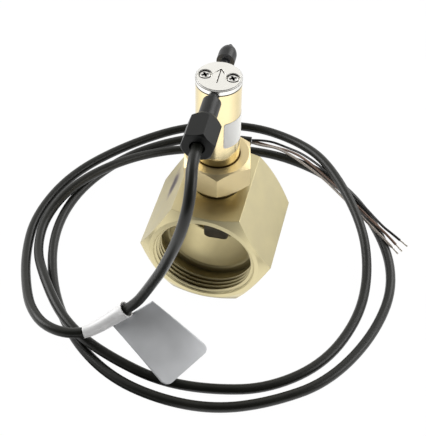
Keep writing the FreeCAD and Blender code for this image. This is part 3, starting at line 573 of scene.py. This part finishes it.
# ------------------------------------------------------------------------------------ stage
class SWITCH_OT_stage(bpy.types.Operator):
    """Pale floor, white backdrop, soft lamps and the camera"""
    bl_idname = "switch.stage"
    bl_label = "Stage, lamps and camera"

    def execute(self, context):
        scene = context.scene
        scene.view_settings.view_transform = "Standard"
        span = np.linspace(-3.0, 3.0, 2)
        x, y = np.meshgrid(span, span, indexing="ij")
        floor = grid_mesh("floor", np.stack([x, y, np.zeros_like(x)], -1))
        if floor.data.polygons[0].normal.z < 0:
            floor.data.flip_normals()
        paint(floor, self.floor_paint(scene.switch_colours.floor))
        self.world(scene)
        for lamp in LAMPS:
            self.lamp(scene, *lamp)
        self.camera(scene)
        return {"FINISHED"}

    def floor_paint(self, code):
        """White to the eye, diffuse to the lamps, and brighter in front where metal mirrors it."""
        material = bpy.data.materials.new("matte white laminate")
        material.use_nodes = True
        tree = material.node_tree
        tree.nodes.clear()
        soft = add(tree, "ShaderNodeBsdfDiffuse", values={"Color": linear(code)})
        path = add(tree, "ShaderNodeLightPath").outputs
        where = add(tree, "ShaderNodeTexCoord").outputs["Object"]
        front = ramp(tree, component(tree, where, "Y"), -FRONT_REACH, FRONT_REACH, GLOW_FRONT, 0.0)
        strength = maths(tree, "ADD", maths(tree, "MULTIPLY", front, path["Is Glossy Ray"]), GLOW)
        card = ramp(tree, vector(tree, "DISTANCE", where, CARD_SPOT), *CARD_RADII, CARD_GLOW, 1.0)
        strength = blend(tree, path["Is Camera Ray"], maths(tree, "MULTIPLY", strength, card), GLOW)
        glow = add(tree, "ShaderNodeEmission", values={"Color": (1, 1, 1, 1)}, links={"Strength": strength})
        seen = maths(tree, "MAXIMUM", path["Is Camera Ray"], path["Is Transmission Ray"])
        total = maths(tree, "MAXIMUM", maths(tree, "MULTIPLY", seen, GLOW_SEEN),
                      maths(tree, "MULTIPLY", path["Is Glossy Ray"], GLOW_MIRRORED))
        both = add(tree, "ShaderNodeMixShader", links={0: total, 1: soft.outputs[0], 2: glow.outputs[0]})
        add(tree, "ShaderNodeOutputMaterial", links={"Surface": both.outputs[0]})
        return material

    def world(self, scene):
        """An even pale room, white where it is seen directly."""
        room = bpy.data.worlds.new("pale room")
        scene.world = room
        room.use_nodes = True
        tree = room.node_tree
        tree.nodes.clear()
        path = add(tree, "ShaderNodeLightPath")
        # Darker behind the camera, so that what faces it squarely reflects little.
        facing = vector(tree, "DOT_PRODUCT", add(tree, "ShaderNodeTexCoord").outputs["Generated"], DARK_SIDE)
        light = add(tree, "ShaderNodeBackground", values={"Color": (1.0, 0.99, 0.97, 1)},
                    links={"Strength": ramp(tree, facing, 0.1, 0.85, 1.0, DARK_STRENGTH)})
        white = add(tree, "ShaderNodeBackground", values={"Color": (1, 1, 1, 1), "Strength": 1.0})
        both = add(tree, "ShaderNodeMixShader", links={0: path.outputs["Is Camera Ray"], 1: light.outputs[0],
                   2: white.outputs[0]})
        add(tree, "ShaderNodeOutputWorld", links={"Surface": both.outputs[0]})

    def lamp(self, scene, name, spot, size, power):
        data = bpy.data.lights.new(name, "AREA")
        data.size = size
        data.energy = power
        lamp = bpy.data.objects.new(name, data)
        lamp.location = spot
        aim = Vector(LAMP_TARGET) - lamp.location
        lamp.rotation_euler = aim.to_track_quat("-Z", "Y").to_euler()
        scene.collection.objects.link(lamp)

    def camera(self, scene):
        """A long lens from in front and above; the roll is the horizon's slight lean."""
        data = bpy.data.cameras.new("camera")
        data.lens = CAMERA_LENS
        data.clip_start = 0.01
        camera = bpy.data.objects.new("camera", data)
        heading, down, roll = np.radians((CAMERA_HEADING, CAMERA_DOWN, CAMERA_ROLL)).tolist()
        turn = Matrix.Rotation(heading, 4, "Z") @ Matrix.Rotation(math.pi / 2 - down, 4, "X")
        turn = turn @ Matrix.Rotation(roll, 4, "Z")
        camera.matrix_world = Matrix.Translation(CAMERA_SPOT) @ turn
        scene.collection.objects.link(camera)
        scene.camera = camera


# ------------------------------------------------------------------------------------ cable
def route_curve(name, route, diameter, steps=8):
    """An open quadratic NURBS spline whose control points are the route, with a round section."""
    data = bpy.data.curves.new(name, "CURVE")
    data.dimensions = "3D"
    spline = data.splines.new("NURBS")
    spline.points.add(len(route) - 1)
    spots = np.hstack([np.array(route, float) * MM, np.ones((len(route), 1))])
    spline.points.foreach_set("co", spots.ravel())
    spline.order_u = 3
    spline.use_endpoint_u = True
    spline.resolution_u = steps
    data.resolution_u = steps
    data.bevel_depth = diameter / 2
    data.bevel_resolution = 7
    data.use_fill_caps = True
    piece = bpy.data.objects.new(name, data)
    bpy.context.scene.collection.objects.link(piece)
    return piece


def centre_line(route):
    """Points read from the route's own spline, with no section."""
    bare = route_curve("line", route, 0.0, 24)
    bare.data.bevel_depth = 0
    mesh = bpy.data.meshes.new_from_object(bare)
    points = np.empty(len(mesh.vertices) * 3)
    mesh.vertices.foreach_get("co", points)
    bpy.data.objects.remove(bare)
    bpy.data.meshes.remove(mesh)
    return points.reshape(-1, 3)


def whole_route():
    """The cable's control points from the gland nut to its end."""
    return [GLAND_EXIT, GLAND_FIRST_RUN] + CABLE_ROUTE


class SWITCH_OT_cable(bpy.types.Operator):
    """Sheathed cable in two and a half loose turns, and its three cores"""
    bl_idname = "switch.cable"
    bl_label = "Cable and cores"

    def execute(self, context):
        sizes, colours = context.scene.switch_sizes, context.scene.switch_colours
        sheath = extruded_sheath("extruded PVC sheath", colours.sheath)
        cable = paint(route_curve("cable", whole_route(), sizes.cable_d), sheath)
        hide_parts("cable_jacket")
        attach(cable, "cartridge")
        pieces = [self.strands(name, route) for name, route in WIRE_ROUTES.items()]
        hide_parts("wire_tips")
        for (name, route), strands in zip(WIRE_ROUTES.items(), pieces):
            code = getattr(colours, name.replace("wire", "core"))
            wire = route_curve("core_" + name[5:], route, sizes.core_d)
            paint(wire, moulded("extruded PVC " + name[5:] + " insulation", code, roughness=0.38,
                                grain_mm=0.4, depth_mm=0.01, sheen_mm=8.0))
            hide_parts(name)
            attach(wire, "cartridge")
            [c * MM for c in route[0]]
        return {"FINISHED"}

    def strands(self, name, route):
        """Bare end: round strands laid in a helix about the core's last direction. A strand's centre is
        end + t * direction + r * (cos, sin)(turn * t), and its section a circle square to that direction."""
        sizes = bpy.context.scene.switch_sizes
        end, before = (np.array(route[i], float) * MM for i in (-1, -2))
        along = (end - before) / np.linalg.norm(end - before)
        side = np.cross(along, (0, 0, 1.0))
        side /= np.linalg.norm(side)
        lift = np.cross(side, along)
        t = np.linspace(BARE_START, BARE_END, 28)
        angle = np.linspace(0, 2 * np.pi, 10, endpoint=False)
        section = (np.cos(angle)[:, None] * side + np.sin(angle)[:, None] * lift) * sizes.strand_d / 2
        made = []
        count = sizes.strand_count
        for i in range(count):
            r = 0 if i == 0 else sizes.strand_d * 1.02
            phase = 2 * np.pi * i / (count - 1) + t / STRAND_LAY * 2 * np.pi
            flare = 1 + 0.5 * np.clip((t - 3.4 * MM) / (1.5 * MM), 0, 1) ** 2
            centre = end + t[:, None] * along + (r * flare)[:, None] * (
                np.cos(phase)[:, None] * side + np.sin(phase)[:, None] * lift)
            tip = np.clip((t[-1] - t) / (0.08 * MM), 0.02, 1)
            tip = np.minimum(tip, np.clip((t - t[0]) / (0.05 * MM), 0.02, 1))
            ring = centre[:, None] + section[None] * tip[:, None, None]
            piece = face_out(grid_mesh("%s_strand_%d" % (name, i), ring, False, True))
            close_ends(piece, len(t), len(angle))
            made.append(face_out(piece))
        bundle = join("bare_" + name[5:], made)
        copper = bpy.context.scene.switch_colours.copper
        paint(bundle, turned_metal("tinned copper strand", copper, "z", roughness=0.3, line_mm=0.3,
                                   depth_mm=0.005, edge_mm=0.02))
        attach(bundle, "cartridge")
        return bundle


def close_ends(piece, rows, columns):
    """Closes a tube grid's two ends with one face each."""
    work = bmesh.new()
    work.from_mesh(piece.data)
    work.verts.ensure_lookup_table()
    work.faces.new([work.verts[i] for i in range(columns)])
    work.faces.new([work.verts[(rows - 1) * columns + i] for i in reversed(range(columns))])
    bmesh.ops.recalc_face_normals(work, faces=work.faces)
    work.to_mesh(piece.data)
    work.free()


def join(name, pieces):
    """Joins meshes into one piece."""
    with bpy.context.temp_override(active_object=pieces[0], selected_editable_objects=pieces,
                                   selected_objects=pieces, object=pieces[0]):
        bpy.ops.object.join()
    pieces[0].name = name
    return pieces[0]


# ------------------------------------------------------------------------------------ tag
class SWITCH_OT_tag(bpy.types.Operator):
    """Adhesive tag: a wrap round the cable and the flag of its two ends stuck together"""
    bl_idname = "switch.tag"
    bl_label = "Cable tag"

    def execute(self, context):
        sizes, colours = context.scene.switch_sizes, context.scene.switch_colours
        line = centre_line(whole_route())
        first, last = (int(((line - np.array(end) * MM) ** 2).sum(1).argmin()) for end in WRAP_ENDS)
        part = line[first:last + 1]
        count = len(part)
        # The film stands away from the cable at the end nearer the gland, like a short cone.
        lip = 1 + sizes.wrap_flare * np.linspace(1, 0, count) ** 1.4
        inner = sizes.wrap_inner * lip
        wrap = section_sweep(part, inner + sizes.wrap_wall, inner, "tag_wrap", 56)
        # Polyester film with a clear overlap: pale and half glossy.
        paint(wrap, film("wrapped polyester film", colours.wrap, roughness=0.42, metallic=0.1,
                         wrinkle_mm=9.0))
        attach(wrap, "cartridge")
        flag = self.flag(sizes)
        # The flag's face: matte grey film with a slow ripple from being folded by hand.
        paint(flag, film("folded polyester film", colours.tag, roughness=0.45, metallic=0.25,
                         wrinkle_mm=16.0))
        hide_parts("cable_tag")
        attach(flag, "cartridge")
        return {"FINISHED"}

    def flag(self, sizes):
        """A ruled sheet from the root line to the tip line, across u and out along v. Its width shrinks near
        the tip as a rounded corner does, and a shallow sine curl along v lifts it."""
        root, tip = np.array(FLAG_ROOT) * MM, np.array(FLAG_TIP) * MM
        long = np.linalg.norm(tip.mean(0) - root.mean(0))
        wide = np.linalg.norm(tip[1] - tip[0])
        v = 1 - (1 - np.linspace(0, 1, 60)) ** 1.6
        u = np.linspace(0, 1, 40)
        r = sizes.flag_corner
        into = np.clip(v * long - (long - r), 0, r)
        inset = (r - np.sqrt(np.maximum(r * r - into * into, 0))) / wide
        across = inset[:, None] + (1 - 2 * inset[:, None]) * u[None]
        grid_v = np.broadcast_to(v[:, None], across.shape)
        low = root[0] + (tip[0] - root[0]) * grid_v[..., None]
        high = root[1] + (tip[1] - root[1]) * grid_v[..., None]
        points = low + (high - low) * across[..., None]
        ripple = np.sin(2 * np.pi * across) * grid_v * (1 - grid_v)
        points[..., 2] += 0.5 * MM * np.sin(np.pi * grid_v) + 0.3 * MM * ripple
        flag = grid_mesh("tag_flag", points)
        solid = flag.modifiers.new("thickness", "SOLIDIFY")
        solid.thickness = sizes.film * 2.5      # two films and the adhesive between them
        solid.offset = 0
        return flag


# ------------------------------------------------------------------------------------ threads and label
class SWITCH_OT_threads(bpy.types.Operator):
    """Female pipe threads in both mouths of the tee"""
    bl_idname = "switch.threads"
    bl_label = "Pipe threads"

    def execute(self, context):
        colours = context.scene.switch_colours
        # Cut brass: the flanks are smoother and brighter than the bar's skin; painted shade lies between
        # them.
        cut = turned_metal("single-point cut brass thread", colours.tee, "y", roughness=0.4, line_mm=0.15,
                           depth_mm=0.002, edge_mm=0.05, corner_shade=(2.2, "4A3B18", 0.85))
        for name, side in (("inlet_thread", -1), ("outlet_thread", 1)):
            piece = paint(self.thread(name, side, context.scene.switch_sizes), cut)
            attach(piece, "housing")
        return {"FINISHED"}

    def thread(self, name, side, sizes):
        """Inner surface: radius = major - depth * ridge(y / pitch - angle / turn), where ridge is a rounded
        triangle wave. It fades in over the first half pitch behind the mouth's chamfer and out at the groove.
        The back is a plain cylinder inside the tee's wall, so that the piece is one closed ring."""
        pitch, depth, major = sizes.pipe_pitch, sizes.pipe_depth, sizes.pipe_major_r
        mouth = TEE_HIGH.y - THREAD_START
        y = mouth - np.linspace(0, sizes.pipe_length - THREAD_START, 130)
        angle = np.linspace(0, 2 * np.pi, 256, endpoint=False)
        grid_y, grid_a = np.meshgrid(y, angle, indexing="ij")
        phase = grid_y / pitch - side * grid_a / (2 * np.pi)
        wave = np.abs((phase % 1) * 2 - 1)
        ridge = np.clip((wave - 0.12) / 0.76, 0, 1)
        ridge = ridge * ridge * (3 - 2 * ridge) * 0.35 + ridge * 0.65
        start = np.clip((mouth - grid_y) / FADE_IN, 0, 1)
        stop = np.clip((grid_y - y[-1]) / FADE_OUT, 0, 1)
        radius = major - THREAD_GAP - depth * ridge * start * stop
        back = np.full((2, len(angle)), major + THREAD_BACK)
        radius = np.vstack([radius, back])
        ends = np.repeat([[y[-1]], [mouth]], len(angle), axis=1)
        grid_y = np.vstack([grid_y, ends])
        grid_a = np.vstack([grid_a, grid_a[:2]])
        height = TEE_AXIS_Z + radius * np.sin(grid_a)
        points = np.stack([radius * np.cos(grid_a), side * grid_y, height], -1)
        return face_out(grid_mesh(name, points, True, True))


class SWITCH_OT_label(bpy.types.Operator):
    """Bare rating label, stuck round the head"""
    bl_idname = "switch.label"
    bl_label = "Head label"

    def execute(self, context):
        sizes, colours = context.scene.switch_sizes, context.scene.switch_colours
        label = self.patch(sizes)
        # Matte silver-white polyester, bare.
        paint(label, film("bare polyester label", colours.label, roughness=0.4, metallic=0.0,
                          wrinkle_mm=20.0))
        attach(label, "housing")
        return {"FINISHED"}

    def patch(self, sizes):
        """A rounded rectangle wrapped on the head: height from v, and arc length from u times the width left
        at that height by the corner circles."""
        high = sizes.label_high - sizes.label_low
        wide, r = sizes.label_width, sizes.label_corner
        t = np.linspace(-1, 1, 48)
        v = np.sin(t * np.pi / 2) * high / 2
        u = np.linspace(-1, 1, 90)
        into = np.clip(np.abs(v) - (high / 2 - r), 0, r)
        half = wide / 2 - (r - np.sqrt(np.maximum(r * r - into * into, 0)))
        arc = half[:, None] * u[None]
        angle = math.radians(sizes.label_start) + (arc + wide / 2) / HEAD_R
        height = np.broadcast_to(v[:, None] + (sizes.label_low + sizes.label_high) / 2, arc.shape)
        radius = HEAD_R + 0.02 * MM
        points = np.stack([radius * np.cos(angle), radius * np.sin(angle), height], -1)
        label = grid_mesh("head_label", points)
        if label.data.polygons[0].normal.dot(label.data.polygons[0].center) < 0:
            label.data.flip_normals()
        solid = label.modifiers.new("thickness", "SOLIDIFY")
        solid.thickness = sizes.film
        solid.offset = 1
        return label


# ------------------------------------------------------------------------------------ finishes
class SWITCH_OT_metals(bpy.types.Operator):
    """Finishes of the brass, nickel, steel and magnet pieces"""
    bl_idname = "switch.metals"
    bl_label = "Metal finishes"

    def execute(self, context):
        c = context.scene.switch_colours
        # Drawn brass bar: satin, faint lines along the bar, a dark patch on a flat, painted shade in corners.
        dress(turned_metal("drawn brass bar", c.tee, "xz", roughness=0.36, line_mm=0.35, depth_mm=0.004,
                           edge_mm=0.35, marks=dark_patch, corner_shade=(6.0, "4A4226", 0.6), bore=(24.4, 0.62)),
              "tee_body")
        # Milled and turned brass hexagon, with painted shade in its corners and in a ring under the head.
        dress(turned_metal("turned brass hexagon", c.neck, "z", roughness=0.42, line_mm=0.2, depth_mm=0.004,
                           edge_mm=0.3, marks=shaded_seat, corner_shade=(3.0, "5A4A26", 0.6)), "neck_bushing")
        # Polished brass tube: near mirror, with the faintest turning lines and painted shade in corners.
        dress(turned_metal("polished brass tube", c.head, "z", roughness=0.14, line_mm=0.12, depth_mm=0.002,
                           edge_mm=0.25, corner_shade=(1.6, "4A3413", 0.9)), "head_housing")
        dress(turned_metal("turned brass ring", c.neck, "z", roughness=0.25, line_mm=0.2, depth_mm=0.006,
                           edge_mm=0.2), "pivot_carrier")
        # Nickel plate on a faced disc: painted shade in its arrow, corners and rim joint and along its bevel.
        dress(turned_metal("nickel plated brass", c.nickel, "xy", roughness=0.28, line_mm=0.5, depth_mm=0.003,
                           edge_mm=0.15, marks=painted_cap_shade, corner_shade=(0.7, "4E4A44", 0.5),
                           matte=matte_edges), "cap_plate")
        # Stainless steel screws, with painted shade on their heads' sides, rims and crosses.
        dress(turned_metal("cold headed stainless steel", c.steel, "z", roughness=0.3, line_mm=0.3,
                           depth_mm=0.004, edge_mm=0.12, marks=shaded_screw_heads), "cap_screws")
        dress(turned_metal("bright stainless steel", c.steel, "x", roughness=0.25, line_mm=0.3,
                           depth_mm=0.004, edge_mm=0.1), "pivot_pin", "carrier_circlip", "pendulum_arm",
              "paddle_rivets", "reed_leads")
        dress(turned_metal("ground sintered magnet", c.magnet, "z", roughness=0.45, line_mm=0.2,
                           depth_mm=0.01, edge_mm=0.1), "pendulum_magnet", "reset_magnet")
        return {"FINISHED"}


class SWITCH_OT_plastics(bpy.types.Operator):
    """Finishes of the moulded, rubber and glass pieces"""
    bl_idname = "switch.plastics"
    bl_label = "Plastic, rubber and glass finishes"

    def execute(self, context):
        c = context.scene.switch_colours
        # Glass-filled nylon: satin black, fine grain; painted shade on the front tube, painted light on the
        # shoulder.
        dress(moulded("glass-filled nylon", c.black, roughness=0.36, grain_mm=0.35, depth_mm=0.012,
                      sheen_mm=5.0, ior=1.4, marks=shaded_tube_lit_shoulder), "cartridge_body")
        dress(moulded("carbon black nylon", c.nut, roughness=0.42, grain_mm=0.35, depth_mm=0.012,
                      sheen_mm=5.0, ior=1.35), "gland_nut")
        # Moulded PPS: matte dark grey.
        dress(moulded("moulded sulphide polymer", c.paddle, roughness=0.5, grain_mm=0.3, depth_mm=0.01,
                      sheen_mm=5.0, ior=1.6), "paddle_blade", "magnet_holder", "pivot_washers")
        dress(extruded_sheath("extruded PVC sheath end", c.sheath), "cable_tail")
        dress(moulded("extruded PVC core", c.core_grey, roughness=0.4, grain_mm=0.4, depth_mm=0.01,
                      sheen_mm=8.0), "core_ends")
        dress(moulded("nitrile rubber", c.rubber, roughness=0.6, grain_mm=0.3, depth_mm=0.02, sheen_mm=4.0,
                      ior=1.52), "head_o_ring", "gland_seal")
        material, tree, shader, where = blank("drawn soda glass")
        shader.inputs["Base Color"].default_value = linear(c.glass)
        shader.inputs["Transmission Weight"].default_value = 0.9
        seeds = noise(tree, where, 1 / (2 * MM))
        tree.links.new(ramp(tree, seeds, 0.3, 0.7, 0.03, 0.08), shader.inputs["Roughness"])
        dress(material, "reed_glass")
        return {"FINISHED"}


STEPS = (SWITCH_OT_stage, SWITCH_OT_tag, SWITCH_OT_cable, SWITCH_OT_threads, SWITCH_OT_label,
         SWITCH_OT_metals, SWITCH_OT_plastics)


class SWITCH_PT_panel(bpy.types.Panel):
    """Lists the steps and their settings"""
    bl_idname = "SWITCH_PT_panel"
    bl_label = "Paddle flow switch"
    bl_space_type = "VIEW_3D"
    bl_region_type = "UI"
    bl_category = "Flow switch"

    def draw(self, context):
        for step in STEPS:
            self.layout.operator(step.bl_idname)
        for group in (context.scene.switch_sizes, context.scene.switch_colours):
            box = self.layout.box()
            for name in group.__annotations__:
                box.prop(group, name)


CLASSES = (SwitchSizes, SwitchColours, *STEPS, SWITCH_PT_panel)


def register():
    for item in CLASSES:
        bpy.utils.register_class(item)
    bpy.types.Scene.switch_sizes = PointerProperty(type=SwitchSizes)
    bpy.types.Scene.switch_colours = PointerProperty(type=SwitchColours)


def unregister():
    del bpy.types.Scene.switch_sizes
    del bpy.types.Scene.switch_colours
    for item in reversed(CLASSES):
        bpy.utils.unregister_class(item)


def main():
    register()
    for step in STEPS:
        group, name = step.bl_idname.split(".")
        getattr(getattr(bpy.ops, group), name)()


if __name__ == "__main__":
    main()
